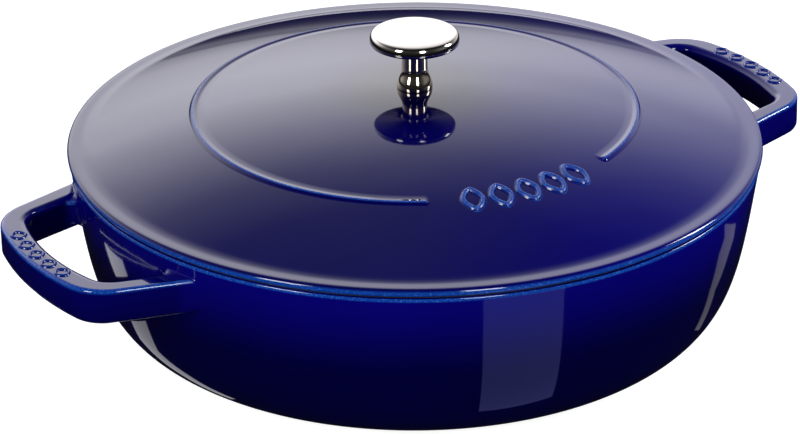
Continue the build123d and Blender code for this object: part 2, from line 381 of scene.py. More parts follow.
def blue_glaze(finish):
    """Glossy translucent glaze: deep where it lies thick, brighter where an edge draws it thin. Its colour
    also carries painted shade: darker on the lid, round the knob, on the handles and in their openings, and
    lighter on the side to the camera's right.
    """
    material, shader = new_material("blue_glaze")
    place = shader.place()
    x, y, height = shader.split(place)
    radius = reach(x, y)
    edge = shader.node("ShaderNodeAttribute", {"attribute_name": "edge"}, output="Fac")
    cloud = shader.noise(place, 30.0, 3.0)
    grain = shader.noise(place, 1500.0, 3.0, 0.7)
    ripple = shader.noise(place, 26.0, 1.0)
    pits = shader.noise(place, 700.0, 2.0)

    # The glaze darkens towards the bottom of the wall. Painted shade: it is darker on the lid and on the
    # handles, less so on the side to the camera's right where more light falls, and darkest on the lid
    # round the knob, where the knob's shadow falls
    run = height.step(0.034, 0.076) * 0.78 + 0.22
    lid = height.step(0.0740, 0.0745)
    # Painted light: 1 on the side to the camera's right, where more light falls
    even = (x * 0.85 - y * 0.526).step(-0.02, 0.12)
    # Painted shadow of the knob on the lid, round its seat
    crown = 1.0 - radius.step(0.018, 0.045)
    loop = radius.step(0.1445, 0.1500)
    lid_shade = 1.0 - lid * (0.56 - even * 0.42 + crown * 0.32)
    loop_shade = 1.0 - loop * (0.36 - even * 0.25)

    # Painted shade: it is darkest on the inner faces of the finger openings, within the middle of arms and
    # bar, where the handle shades them
    out, side = (x * x) ** 0.5, (y * y) ** 0.5
    inner_arm = 1.0 - (side + (out - 0.1254) * 0.26).step(0.0475, 0.0505)
    inner_bar = 1.0 - (out + side * side * 3.9).step(0.1725, 0.1750)
    opening = loop * inner_arm * inner_bar * (1.0 - height.step(0.0640, 0.0662))
    # The painted shade, and the thick glaze's colour darkened by it
    level = run * lid_shade * loop_shade * (1.0 - opening * 0.65)
    shaded_glaze = shader.mix(level * (0.9 + cloud * 0.2), (0.0, 0.0, 0.0), finish.glaze)

    # It is thin along the edges, and along one line on the lid's edge and one on the pot's
    rim = height.step(0.0690, 0.0700) * radius.step(0.1365, 0.1380)
    lid_line = height.band(0.0736, 0.0745, 0.0758, 0.0769)
    pot_line = height.band(0.0713, 0.0721, 0.0729, 0.07297)
    motif = height.step(0.0671, 0.0674) * radius.step(0.1500, 0.1520)
    proud = lid + radius.step(0.1426, 0.1440)
    own = edge.step(0.05, 0.75) * proud * (1.0 - rim) * (1.0 - motif * 0.55) * 0.9
    thin = own + rim * (lid_line + pot_line)
    drawn = shader.mix(thin * (0.6 + grain.step(0.35, 0.68) * 0.4), shaded_glaze, finish.thin_glaze)
    sparkle = grain.step(0.54, 0.68) * thin.step(0.4, 0.9)
    bright = shader.mix(sparkle * (0.65 + rim * pot_line * 0.3), drawn, finish.worn_glaze)
    shader.surface(
        "ShaderNodeBsdfPrincipled",
        {
            "Base Color": bright,
            "Roughness": 0.045 + own * (1.0 - loop) * 0.30 + pits * 0.015,
            "IOR": 1.5,
            "Normal": shader.bump(ripple * 0.9 + pits * 0.012 + grain * thin * 0.06, 0.3, 0.0004),
        },
    )
    return material


def matt_enamel(finish):
    """Matt black enamel, finely pitted, as it lines the pot and the lid."""
    material, shader = new_material("matt_enamel")
    place = shader.place()
    pits = shader.noise(place, 1400.0, 3.0, 0.6)
    cloud = shader.noise(place, 25.0, 2.0)
    tone = shader.mix(cloud.step(0.3, 0.7), finish.matt, [c * 1.9 for c in finish.matt])
    shader.surface(
        "ShaderNodeBsdfPrincipled",
        {
            "Base Color": tone,
            "Roughness": 0.42 + pits * 0.2,
            "Specular IOR Level": 0.25,
            "Normal": shader.bump(pits, 0.35, 0.0003),
        },
    )
    return material


def polished_nickel(finish):
    """Polished nickel with the faintest marks of turning and wiping. Below the cap it is tinted warmer, a
    painted reflection of warm, dark surroundings.
    """
    material, shader = new_material("polished_nickel")
    place = shader.place()
    x, y, z = shader.split(place)
    lathe = shader.node("ShaderNodeCombineXYZ", None, {0: reach(x, y), 1: z * 0.6})
    turning = shader.noise(lathe, 2200.0)
    smears = shader.noise(place, 120.0, 4.0, 0.6)
    wiped = shader.mix(smears.step(0.35, 0.75), finish.nickel, [c * 0.93 for c in finish.nickel])
    # Painted reflection: below the cap the nickel is tinted warmer
    tone = shader.mix(z.step(0.1145, 0.1162), finish.warm_nickel, wiped)
    shader.surface(
        "ShaderNodeBsdfPrincipled",
        {
            "Base Color": tone,
            "Metallic": 1.0,
            "Roughness": 0.075 + smears.step(0.5, 0.8) * 0.03,
            "Normal": shader.bump(turning, 0.06, 0.0001),
        },
    )
    return material


def turned_steel(finish):
    """Plain steel of the screw and its washer, with turning marks about the axis."""
    material, shader = new_material("turned_steel")
    x, y, z = shader.split(shader.place())
    lathe = shader.node("ShaderNodeCombineXYZ", None, {0: reach(x, y), 1: z})
    marks = shader.noise(lathe, 4200.0, 3.0)
    tone = shader.mix(marks, [c * 0.82 for c in finish.steel], finish.steel)
    shader.surface(
        "ShaderNodeBsdfPrincipled",
        {
            "Base Color": tone,
            "Metallic": 1.0,
            "Roughness": 0.26 + marks * 0.14,
            "Normal": shader.bump(marks, 0.2, 0.0002),
        },
    )
    return material


def finish_for(maker, context):
    """The material that a maker makes, made once."""
    made = bpy.data.materials.get(maker.__name__)
    return made if made else maker(context.scene.braiser_finish)


# Modelling helpers

# Distances within which points are merged, lie on the Z axis, or count as level with a face
MERGE_DISTANCE = 1e-6
ON_AXIS = 1e-7
LEVEL = 0.0001

# Steps of a search that halves its span
HALVINGS = 40

# How far towards a corner's tip the control points of its round stand, as a share
ROUND_SHARE = 0.56


def select(*pieces):
    """Leaves edit mode and selects these pieces alone, with the first as the active one."""
    if bpy.context.object and bpy.context.object.mode != "OBJECT":
        bpy.ops.object.mode_set(mode="OBJECT")
    bpy.ops.object.select_all(action="DESELECT")
    for piece in reversed(pieces):
        piece.select_set(True)
        bpy.context.view_layer.objects.active = piece


def edit(piece):
    select(piece)
    bpy.ops.object.mode_set(mode="EDIT")


def leave_edit():
    bpy.ops.object.mode_set(mode="OBJECT")


def primitive(name, add, **settings):
    """A primitive that one of Blender's operators adds, with its name."""
    select()
    add(**settings)
    piece = bpy.context.object
    piece.name = name
    piece.data.name = name
    return piece


def welded(piece):
    """Merges a mesh's doubles and turns its faces outwards, in edit mode, and leaves that mode."""
    bpy.ops.mesh.select_all(action="SELECT")
    bpy.ops.mesh.remove_doubles(threshold=MERGE_DISTANCE)
    bpy.ops.mesh.normals_make_consistent(inside=False)
    leave_edit()
    return piece


def on_curve(points, share):
    """The point at a share along a cubic curve of four control points."""
    left = 1 - share
    weights = (left**3, 3 * left**2 * share, 3 * left * share**2, share**3)
    return tuple(sum(w * v for w, v in zip(weights, values)) for values in zip(*points))


def corner(start, tip, end):
    """The four control points of a round corner."""
    pull = tuple(a + (b - a) * ROUND_SHARE for a, b in zip(start, tip))
    push = tuple(c + (b - c) * ROUND_SHARE for b, c in zip(tip, end))
    return start, pull, push, end


def crossing(before):
    """The share from 0 to 1 up to which before(share) holds."""
    low, high = 0.0, 1.0
    for _ in range(HALVINGS):
        middle = (low + high) / 2
        if before(middle):
            low = middle
        else:
            high = middle
    return (low + high) / 2


class Section:
    """The (radius, height) points of a half section. Each stretch starts where the last one ended,
    and leaves its own end point to the next."""

    def __init__(self, radius, height):
        self.points = []
        self.here = (radius, height)

    def along(self, place, first, last, steps):
        """Follows place(number) while the number runs from first to last."""
        self.points += [place(first + (last - first) * step / steps) for step in range(steps)]
        self.here = place(last)

    def line(self, end, steps=1):
        start = self.here
        self.points += [
            tuple(a + (b - a) * step / steps for a, b in zip(start, end)) for step in range(steps)
        ]
        self.here = end

    def curve(self, pull, push, end, steps):
        points = (self.here, pull, push, end)
        self.along(lambda share: on_curve(points, share), 0.0, 1.0, steps)

    def round(self, tip, end, steps):
        _, pull, push, _ = corner(self.here, tip, end)
        self.curve(pull, push, end, steps)

    def ended(self):
        """All the points, with the last stretch's end."""
        return [*self.points, self.here]


def turned(name, section, steps, closed=False):
    """Spins a half section once about Z into a closed shell."""
    piece = primitive(name, bpy.ops.mesh.primitive_circle_add, vertices=len(section))
    for vertex, (radius, height) in zip(piece.data.vertices, section):
        vertex.co = (radius, 0.0, height)
    edit(piece)
    if not closed:
        shell = bmesh.from_edit_mesh(piece.data)
        for edge in shell.edges:
            edge.select = all(vertex.co.x < ON_AXIS for vertex in edge.verts)
        bmesh.update_edit_mesh(piece.data)
        bpy.ops.mesh.select_mode(type="EDGE")
        bpy.ops.mesh.delete(type="EDGE_FACE")
        bpy.ops.mesh.select_mode(type="VERT")
    bpy.ops.mesh.select_all(action="SELECT")
    bpy.ops.mesh.spin(steps=steps, angle=2 * pi, center=(0, 0, 0), axis=(0, 0, 1))
    return welded(piece)


def wrapped(name, columns, rows, place):
    """Wraps a grid into a form: place(column, row) says where each of its corners goes."""
    size = {"x_subdivisions": columns, "y_subdivisions": rows, "size": 1}
    piece = primitive(name, bpy.ops.mesh.primitive_grid_add, **size)
    for vertex in piece.data.vertices:
        column = round((vertex.co.x + 0.5) * columns)
        row = round((vertex.co.y + 0.5) * rows)
        vertex.co = place(column, row)
    edit(piece)
    return welded(piece)


def joined(first, others):
    select(first, *others)
    bpy.ops.object.join()
    return first


def copied(piece, matrices):
    """Copies of a piece, each with its own mesh, at the places that the matrices give. The piece
    itself goes."""
    made = []
    for matrix in matrices:
        copy = piece.copy()
        copy.data = piece.data.copy()
        copy.data.transform(matrix)
        bpy.context.collection.objects.link(copy)
        made.append(copy)
    bpy.data.objects.remove(piece)
    return made


def smooth(piece):
    select(piece)
    bpy.ops.object.shade_smooth_by_angle(angle=radians(40))


def read(items, name, width, kind=float):
    """A value of each item of a mesh, as the rows of an array."""
    values = np.empty(len(items) * width, dtype=kind)
    items.foreach_get(name, values)
    return values.reshape(-1, width)


def mark_edges(piece):
    """Writes how tightly each corner of the mesh bends outwards, where a glaze is drawn thin: 0 on
    radii over soft, 1 under sharp, and spread a little over its neighbours."""
    soft, sharp = 0.0030, 0.0014
    mesh = piece.data
    total = len(mesh.vertices)
    places = read(mesh.vertices, "co", 3)
    normals = read(mesh.vertex_normals, "vector", 3)
    ends = read(mesh.edges, "vertices", 2, np.int64)
    run = places[ends[:, 1]] - places[ends[:, 0]]
    turn = normals[ends[:, 1]] - normals[ends[:, 0]]
    bend = (run * turn).sum(axis=1) / np.maximum((run * run).sum(axis=1), 1e-12)
    folded = (normals[ends[:, 0]] * normals[ends[:, 1]]).sum(axis=1) < 0.5
    bend[folded] = 0.0
    tightest = np.zeros(total)
    for side in (0, 1):
        np.maximum.at(tightest, ends[:, side], bend)
    share = np.clip((tightest - 1 / soft) / (1 / sharp - 1 / soft), 0.0, 1.0)
    summed = share.copy()
    parts = np.ones(total)
    for here, there in ((0, 1), (1, 0)):
        np.add.at(summed, ends[:, here], share[ends[:, there]])
        np.add.at(parts, ends[:, here], 1)
    layer = mesh.attributes.new("edge", "FLOAT", "POINT")
    layer.data.foreach_set("value", 0.5 * share + 0.5 * summed / parts)


def enamelled(piece, lined, context):
    """Glazes a casting, with matt enamel on the faces for which lined(centre, normal) holds."""
    for maker in (blue_glaze, matt_enamel):
        piece.data.materials.append(finish_for(maker, context))
    for face in piece.data.polygons:
        face.material_index = int(lined(face.center, face.normal))
    smooth(piece)
    mark_edges(piece)


# Beads of glaze: the lid's ring and the lozenges

# Depth of the ring's foot under the dome
RING_SINK = 0.0012


def bead(share, core, power):
    """Height of a soft bead across its foot, for a share of the foot's half width: its core is
    the bead itself, which stands on a low, wide swell of the glaze."""
    swell_height = 0.2
    swell = max(1 - share**2, 0.0) ** 2
    crest = max(1 - (share / core) ** 2, 0.0) ** power
    return swell * swell_height + crest * (1 - swell_height)


def across_bead(row, around):
    """Where a row of a bead's skin lies: its place across, from 1 to -1 and back, and its side."""
    half = around // 2
    row %= around
    above = row <= half
    even = 1 - 2 * row / half if above else 2 * (row - half) / half - 1
    return copysign(abs(even) ** 1.5, even), above


def round_under(share):
    """Depth of a bead's sunk underside, as a share of its depth in the middle."""
    return sqrt(max(1 - share**2, 0.0))


def lozenge(width, height, band, lift):
    """An open lozenge of a soft bead, flat on the XY plane, its foot sunk under it."""
    around = 28
    along = 56
    half = band * 0.85
    pointed = 1.35

    def place(column, row):
        turn = 2 * pi * (column % along) / along
        x = copysign(abs(cos(turn)) ** pointed, cos(turn))
        y = copysign(abs(sin(turn)) ** pointed, sin(turn))
        spine = Vector((x * (width - band) / 2, y * (height - band) / 2))
        out = Vector((x / width**2, y / height**2)).normalized()
        across, above = across_bead(row, around)
        rise = bead(across, 0.6, 0.8) if above else -round_under(across)
        spot = spine + out * across * half
        return Vector((spot.x, spot.y, lift * rise))

    return wrapped("lozenge", along, around, place)


def raised_ring(lid, dome):
    """The ring on the dome, open over its gap: it rises softly from inside and falls off steeply
    to its outside, and its ends are rounded off."""
    around = 56
    along = 300
    end_steps = 12
    sunk = 0.00002
    first = lid.ring_middle + lid.ring_gap / 2
    sweep = 2 * pi - lid.ring_gap
    overrun = lid.ring_end / lid.ring_radius

    def outside(share):
        return bead(share, 0.62, 1.2)

    def inside(share):
        return 0.62 * (1 - share) ** 2 + 0.38 * max(1 - (share / 0.30) ** 2, 0.0) ** 1.2

    def place(column, row):
        past = 0.0
        if column < end_steps:
            past = cos(pi / 2 * column / end_steps)
            turn = first - past * overrun
        elif column > along - end_steps:
            past = cos(pi / 2 * (along - column) / end_steps)
            turn = first + sweep + past * overrun
        else:
            turn = first + sweep * (column - end_steps) / (along - 2 * end_steps)
        across, above = across_bead(row, around)
        across *= round_under(past)
        share = min(1.0, reach(across, past))
        off = across * (lid.ring_outside if across > 0 else lid.ring_inside)
        rise = outside(share)
        if across <= 0:
            rise = inside(share) * (1 - past**2) + rise * past**2
        lift = lid.ring_height * rise if above else -RING_SINK * round_under(share)
        return dome.place(lid.ring_radius + off, turn, lift - sunk)

    return wrapped("raised_ring", along, around, place)


# Pot


def wall_line(pot, top_radius, low_radius, low):
    """The four control points of one side of the wall, from the rim down to the floor."""
    return (
        (top_radius, pot.rim_height),
        (top_radius - pot.wall_run * sin(pot.draft), pot.rim_height - pot.wall_run * cos(pot.draft)),
        (low_radius, low),
        (pot.foot_radius, low),
    )


def outer_line(pot):
    return wall_line(pot, pot.rim_radius, pot.foot_radius + pot.corner_reach, 0.0)


def share_at(line, height):
    """The share along a falling wall line at which it passes a height."""
    return crossing(lambda share: on_curve(line, share)[1] > height)


def wall_radius(pot, height):
    """Outer radius of the wall at a height."""
    line = outer_line(pot)
    return on_curve(line, share_at(line, height))[0]


def bore_radius(pot):
    """Inner radius of the wall at the rim."""
    return pot.rim_radius - pot.wall / cos(pot.draft)


def pot_section(pot):
    """Half section of the pot, from the middle of its underside round the rim to the inside."""
    bore = bore_radius(pot)
    outer = outer_line(pot)
    inner = wall_line(pot, bore, pot.foot_radius + pot.corner_reach - pot.wall, pot.floor)
    recess_edge = pot.foot_radius - pot.foot_ring
    top = pot.rim_height
    ledge = top - pot.rim_step
    ledge_in = pot.rim_radius - pot.rim_ledge
    lip = on_curve(outer, share_at(outer, ledge))
    soft = pot.rim_step * 0.5
    rim_run = pot.rim_round * 1.04
    outer_start = share_at(outer, ledge - pot.rim_lip)
    inner_start = share_at(inner, top - rim_run)

    section = Section(0.0, pot.recess)
    section.line((recess_edge - pot.recess, pot.recess), 10)
    section.line((recess_edge, 0.0), 2)
    section.line((pot.foot_radius, 0.0), 4)
    section.along(lambda share: on_curve(outer, share), 1.0, outer_start, 56)
    section.round(lip, (lip[0] - pot.rim_lip * 0.5, ledge), 8)
    section.line((ledge_in, ledge), 2)
    section.line((ledge_in, top - soft))
    section.round((ledge_in, top), (ledge_in - soft, top), 4)
    section.line((bore + rim_run, top), 2)
    section.round((bore, top), on_curve(inner, inner_start), 6)
    section.along(lambda share: on_curve(inner, share), inner_start, 1.0, 40)
    section.line((0.0, pot.floor), 10)
    return section.ended()


def turn_of(point):
    """Direction of a point from the Z axis, from 0 to 2 pi."""
    return atan2(point.y, point.x) % (2 * pi)


def arc(centre, radius, first, last, steps):
    """Points along an arc between two directions, without its start."""
    turns = [first + (last - first) * step / steps for step in range(1, steps + 1)]
    return [centre + Vector((cos(turn), sin(turn))) * radius for turn in turns]


def across_axis(point):
    """The same point on the other side of the XZ plane."""
    return Vector((point.x, -point.y, point.z))


class Loop:
    """The loop handle at +X: its outlines, and the lines that run along it from root to root."""

    corner_steps = 14
    bar_steps = 24
    arm_steps = 9
    root_steps = 7
    round_steps = 6
    side_shares = (0.0, 0.09, 0.25, 0.5, 0.75, 0.91)

    # How far the outline's sides and its bow draw in to the bottom, and the opening's end widens
    side_draft = 0.0006
    bow_draft = 0.0012
    opening_draft = 0.0018
    bottom_corner_round = 0.0145

    # Radii of the edges: outer top, outer bottom, inner bottom and inner top, and the inner top
    # one where it runs along the bar
    edge_rounds = (0.0015, 0.0032, 0.0026, 0.0026)
    bar_round = 0.0034

    # Share by which the root's round is smaller above and below the arm than at its sides
    root_flattening = 0.85

    def __init__(self, pot, handle):
        self.pot = pot
        self.handle = h = handle
        top = pot.rim_height - h.drop
        bottom = top - h.depth
        self.heights = (top, bottom, bottom, top)
        side = self.side_draft
        low_half = h.corner_half - side
        low_bow = h.bow - self.bow_draft
        inner_root = h.root_half - h.arm_root
        inner_corner = h.corner - h.bar
        inner_half = h.corner_half - h.arm
        opening = (h.opening_bow, h.opening_round)
        wide = inner_corner + self.opening_draft
        self.outlines = (
            self.outline(h.root_half, h.corner, h.corner_half, h.bow, h.corner_round),
            self.outline(h.root_half - side, h.corner, low_half, low_bow, self.bottom_corner_round),
            self.outline(inner_root + side, wide, inner_half + side, *opening),
            self.outline(inner_root, inner_corner, inner_half, *opening),
        )

    def outline(self, root_half, corner_x, corner_half, bow, radius):
        """Half of one outline, from its root to the middle of the bar, at stations along it."""
        root = Vector((self.handle.root, root_half))
        along = (Vector((corner_x, corner_half)) - root).normalized()
        bar_radius = arc_radius(corner_half, bow)
        bar_centre = Vector((corner_x + bow - bar_radius, 0.0))

        # The round corner's centre lies its radius inside the arm, and its radius inside the bar
        beside = root + Vector((along.y, -along.x)) * radius
        start = beside - bar_centre
        half = start.dot(along)
        arm = sqrt(half**2 - start.dot(start) + (bar_radius - radius) ** 2) - half
        centre = beside + along * arm
        arm_end = root + along * arm
        bar_start = bar_centre + (centre - bar_centre) * (bar_radius / (bar_radius - radius))
        first, last = turn_of(arm_end - centre), turn_of(bar_start - centre)
        opening = turn_of(bar_start - bar_centre)
        round_corner = arc(centre, radius, first, last, self.corner_steps)
        return [root, arm_end, *round_corner, *arc(bar_centre, bar_radius, opening, 0.0, self.bar_steps)]

    def bar_frame(self, along):
        """A frame on the bar's top face, a length along the bar from its middle."""
        h = self.handle
        edges = []
        for corner_x, half, bow in (
            (h.corner, h.corner_half, h.bow),
            (h.corner - h.bar, h.corner_half - h.arm, h.opening_bow),
        ):
            radius = arc_radius(half, bow)
            edges.append(corner_x + bow - radius + sqrt(radius**2 - along**2))
        middle = (edges[0] - self.edge_rounds[0] + edges[1] + self.bar_round) / 2
        spot = Matrix.Translation((middle, along, self.heights[0] - LOZENGE_SINK))
        return spot @ Matrix.Rotation(asin(along / arc_radius(h.corner_half, h.bow)), 4, "Z")

    def ring(self, station):
        """The points of the loop's section at a station, round its four edges."""
        tips = [Vector((*line[station], height)) for line, height in zip(self.outlines, self.heights)]
        share = min(max((station - 1) / self.corner_steps, 0.0), 1.0)
        blend = share**2 * (3 - 2 * share)
        arm_round = self.edge_rounds[3]
        rounds = (*self.edge_rounds[:3], arm_round + (self.bar_round - arm_round) * blend)
        starts = []
        ends = []
        for index, (tip, radius) in enumerate(zip(tips, rounds)):
            before = (tips[index - 1] - tip).normalized()
            after = (tips[(index + 1) % 4] - tip).normalized()
            run = radius / tan(before.angle(after) / 2)
            starts.append(tip + before * run)
            ends.append(tip + after * run)
        points = []
        for index, tip in enumerate(tips):
            edge = corner(starts[index], tip, ends[index])
            steps = range(self.round_steps)
            points += [Vector(on_curve(edge, step / self.round_steps)) for step in steps]
            following = starts[(index + 1) % 4]
            points += [ends[index].lerp(following, part) for part in self.side_shares]
        return points

    def wall_point(self, point):
        """The nearest point of the pot's wall at the same height and direction."""
        flat = point.xy.normalized() * wall_radius(self.pot, point.z)
        return Vector((*flat, point.z))

    def wall_normal(self, point):
        """The wall's normal at a point of it, from its radius a little below and above."""
        step = 0.0005
        low = wall_radius(self.pot, point.z - step)
        high = wall_radius(self.pot, point.z + step)
        return Vector((*point.xy.normalized(), (low - high) / (2 * step))).normalized()

    def wall_meeting(self, start, end):
        """Where a line from inside the pot's wall to outside it passes the wall."""

        def buried(share):
            spot = start.lerp(end, share)
            return reach(spot.x, spot.y) < wall_radius(self.pot, spot.z)

        return start.lerp(end, crossing(buried))

    def lines(self):
        """For each point of the section, its line from the wall to the middle of the bar."""
        rings = [self.ring(station) for station in range(len(self.outlines[0]))]
        root, arm_end = rings[:2]
        middle = sum(root, Vector()) / len(root)
        found = []
        for index, (start, end) in enumerate(zip(root, arm_end)):
            meet = self.wall_meeting(start, end)
            along = (end - start).normalized()
            ahead = root[(index + 1) % len(root)] - root[index - 1]
            out = ahead.cross(along).normalized()
            if out.dot(start - middle) < 0:
                out = -out
            normal = self.wall_normal(meet)
            across = (out - normal * out.dot(normal)).normalized()
            spread = along.angle(across)
            radius = self.handle.root_round * (1 - self.root_flattening * abs(across.z))
            run = radius / tan(spread / 2)
            foot = self.wall_point(meet + across * run)
            head = meet + along * run
            path = []
            for step in range(self.root_steps + 1):
                t = step / self.root_steps
                parts = ((1 - t) ** 2, 2 * sin(spread / 2) * t * (1 - t), t**2)
                path.append((foot * parts[0] + meet * parts[1] + head * parts[2]) / sum(parts))
            path += [head.lerp(end, step / self.arm_steps) for step in range(1, self.arm_steps + 1)]
            path += [ring[index] for ring in rings[2:]]
            found.append(path)
        return found


def loop_shell(lines, side):
    """One loop handle as an open tube from root to root, turned to its side of the pot."""
    half = len(lines[0]) - 1

    def place(column, row):
        line = lines[row % len(lines)]
        if column <= half:
            return side @ line[column]
        return side @ across_axis(line[2 * half - column])

    return wrapped("loop_handle", 2 * half, len(lines), place)


def open_wall(piece, pot, feet):
    """Takes out the wall's faces under each root, a little past the root's own outline. Returns
    the first and the last direction of each root."""
    beside = 0.7 * 2 * pi / pot.steps
    above = 0.0006
    windows = []
    for foot in feet:
        turns = [turn_of(point) for point in foot]
        heights = [point.z for point in foot]
        windows.append((min(turns), max(turns), min(heights), max(heights)))
    edit(piece)
    bpy.ops.mesh.select_mode(type="FACE")
    shell = bmesh.from_edit_mesh(piece.data)
    for face in shell.faces:
        centre = face.calc_center_median()
        turn = turn_of(centre)
        outside = face.normal.dot(Vector((centre.x, centre.y, 0.0))) > 0
        face.select = outside and any(
            first - beside < turn < last + beside and low - above < centre.z < high + above
            for first, last, low, high in windows
        )
    bmesh.update_edit_mesh(piece.data)
    bpy.ops.mesh.delete(type="FACE")
    leave_edit()
    return [window[:2] for window in windows]


def close_roots(piece, pot, spans):
    """Bridges the rim of each hole in the wall to the root that stands in it."""
    beside = 3 * 2 * pi / pot.steps
    edit(piece)
    bpy.ops.mesh.select_mode(type="EDGE")
    for first, last in spans:
        shell = bmesh.from_edit_mesh(piece.data)
        for edge in shell.edges:
            turns = [turn_of(vertex.co) for vertex in edge.verts]
            near = all(first - beside < turn < last + beside for turn in turns)
            edge.select = edge.is_boundary and near
        shell.select_flush_mode()
        bmesh.update_edit_mesh(piece.data)
        bpy.ops.mesh.bridge_edge_loops()
    bpy.ops.mesh.select_mode(type="VERT")
    bpy.ops.mesh.select_all(action="SELECT")
    bpy.ops.mesh.normals_make_consistent(inside=False)
    leave_edit()


class BRAISER_OT_pot(bpy.types.Operator):
    """Model the cast pot with its two loop handles"""

    bl_idname = "braiser.pot"
    bl_label = "Pot and handles"

    def execute(self, context):
        pot = context.scene.braiser_pot
        loop = Loop(pot, context.scene.braiser_handle)
        lines = loop.lines()
        piece = turned("pot_body", pot_section(pot), pot.steps)
        sides = [Matrix.Rotation(turn, 3, "Z") for turn in (0.0, pi)]
        foot = [line[0] for line in lines]
        feet = []
        for side in sides:
            feet.append([side @ point for point in foot])
            feet.append([side @ across_axis(point) for point in foot])
        spans = open_wall(piece, pot, feet)
        joined(piece, [loop_shell(lines, side) for side in sides])
        close_roots(piece, pot, spans)
        row = [loop.bar_frame(HANDLE_PITCH * number) for number in LOZENGES]
        places = [side.to_4x4() @ place for side in sides for place in row]
        joined(piece, copied(lozenge(**HANDLE_LOZENGE), places))
        bore = bore_radius(pot)

        def lined(centre, normal):
            radius = reach(centre.x, centre.y)
            if centre.z > pot.rim_height - pot.rim_step * 0.95:
                return True
            if centre.z < pot.recess * 1.1 and radius < pot.foot_radius:
                return True
            inwards = normal.z > 0.3 or normal.dot(Vector((centre.x, centre.y, 0.0))) < 0
            return inwards and radius < bore + pot.rim_round and centre.z > pot.floor * 0.6

        enamelled(piece, lined, context)
        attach(piece, "pot")
        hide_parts("pot")
        return {"FINISHED"}


# Lid

# Sizes of the lid's section: its flat under the knob, its screw hole, the fillet between dome and
# band, the relief beside the skirt, the skirt's rounds, the round between skirt and dome, and the
# pad round the hole from below
KNOB_FLAT = 0.0082
SCREW_HOLE = 0.0033
BAND_FILLET = 0.0025
SKIRT_RELIEF = 0.0004
SKIRT_ROUND = 0.0011
UNDER_ROUND = 0.002
PAD_RADIUS = 0.0095
PAD_DROP = 0.0012

# Circles of drip studs: the first one's radius and number, and what each next one has more
STUD_CIRCLES = 5
STUD_RADIUS, STUD_PITCH = 0.030, 0.020
STUD_NUMBER, STUD_MORE = 8, 5


class Dome:
    """The lid's dome: its sphere, and places on and under it."""

    def __init__(self, lid, seat):
        self.edge = lid.radius - lid.band
        self.band_top = seat + lid.flange
        self.radius = arc_radius(self.edge, lid.rise)
        self.centre = self.band_top + lid.rise - self.radius

    def height(self, radius, depth=0.0):
        return self.centre + sqrt((self.radius - depth) ** 2 - radius**2)

    def place(self, radius, turn, lift):
        """The point a lift above the dome, at a radius along it and a direction."""
        tilt = asin(radius / self.radius)
        out = (self.radius + lift) * sin(tilt)
        up = (self.radius + lift) * cos(tilt)
        return Vector((out * cos(turn), out * sin(turn), self.centre + up))

    def frame(self, radius, turn, lift):
        """A frame that stands on the dome there, its Y axis towards the crown."""
        spot = Matrix.Translation(self.place(radius, turn, lift))
        tilt = Matrix.Rotation(asin(radius / self.radius), 4, "X")
        return spot @ Matrix.Rotation(turn + pi / 2, 4, "Z") @ tilt


def lid_section(lid, dome, seat):
    """Half section of the lid, round its screw hole, top, edge, skirt and underside."""
    crown = dome.height(KNOB_FLAT)
    half = lid.flange / 2
    edge = lid.radius - half
    skirt_out = lid.skirt_radius
    skirt_in = skirt_out - lid.skirt
    skirt_low = seat - lid.skirt_drop
    soft_low = skirt_low + SKIRT_ROUND
    pad_face = dome.height(0.0, lid.thickness) - PAD_DROP

    def above(radius):
        return radius, dome.height(radius)

    def flange(turn):
        return edge + half * cos(turn), seat + half + half * sin(turn)

    def under(radius):
        return radius, dome.height(radius, lid.thickness)

    section = Section(SCREW_HOLE, crown)
    section.line((KNOB_FLAT, crown), 2)
    section.along(above, KNOB_FLAT, dome.edge - BAND_FILLET, 64)
    section.round((dome.edge, dome.band_top), (dome.edge + BAND_FILLET, dome.band_top), 8)
    section.line((edge, dome.band_top), 3)
    section.along(flange, pi / 2, -pi / 2, 12)
    section.line(((edge + skirt_out + SKIRT_RELIEF) / 2, seat))
    section.line((skirt_out, seat - SKIRT_RELIEF))
    section.line((skirt_out, soft_low), 2)
    section.round((skirt_out, skirt_low), (skirt_out - SKIRT_ROUND, skirt_low), 5)
    section.line((skirt_in + SKIRT_ROUND, skirt_low))
    section.round((skirt_in, skirt_low), (skirt_in, soft_low), 5)
    section.line((skirt_in, under(skirt_in)[1] - UNDER_ROUND), 2)
    section.round(under(skirt_in), under(skirt_in - UNDER_ROUND), 4)
    section.along(under, skirt_in - UNDER_ROUND, PAD_RADIUS, 32)
    section.line((PAD_RADIUS, pad_face), 2)
    section.line((SCREW_HOLE, pad_face), 2)
    section.line((SCREW_HOLE, crown), 2)
    return section.points


def drip_studs(lid, dome):
    """The studs under the dome, in circles round the screw."""
    root, tip, drop = 0.0032, 0.0019, 0.0028
    sunk, draft, soft = 0.001, 0.0002, 0.0011
    section = Section(0.0, sunk)
    section.line((root, sunk))
    section.line((root, 0.0))
    section.line((tip + draft, soft - drop), 2)
    section.round((tip, -drop), (tip - soft, -drop), 4)
    section.line((0.0, -drop))
    stud = turned("drip_stud", section.ended(), 14)
    places = []
    for circle in range(STUD_CIRCLES):
        radius = STUD_RADIUS + STUD_PITCH * circle
        number = STUD_NUMBER + STUD_MORE * circle
        for index in range(number):
            turn = 2 * pi * index / number
            spot = (radius * cos(turn), radius * sin(turn), dome.height(radius, lid.thickness))
            places.append(Matrix.Translation(spot))
    studs = copied(stud, places)
    return joined(studs[0], studs[1:])


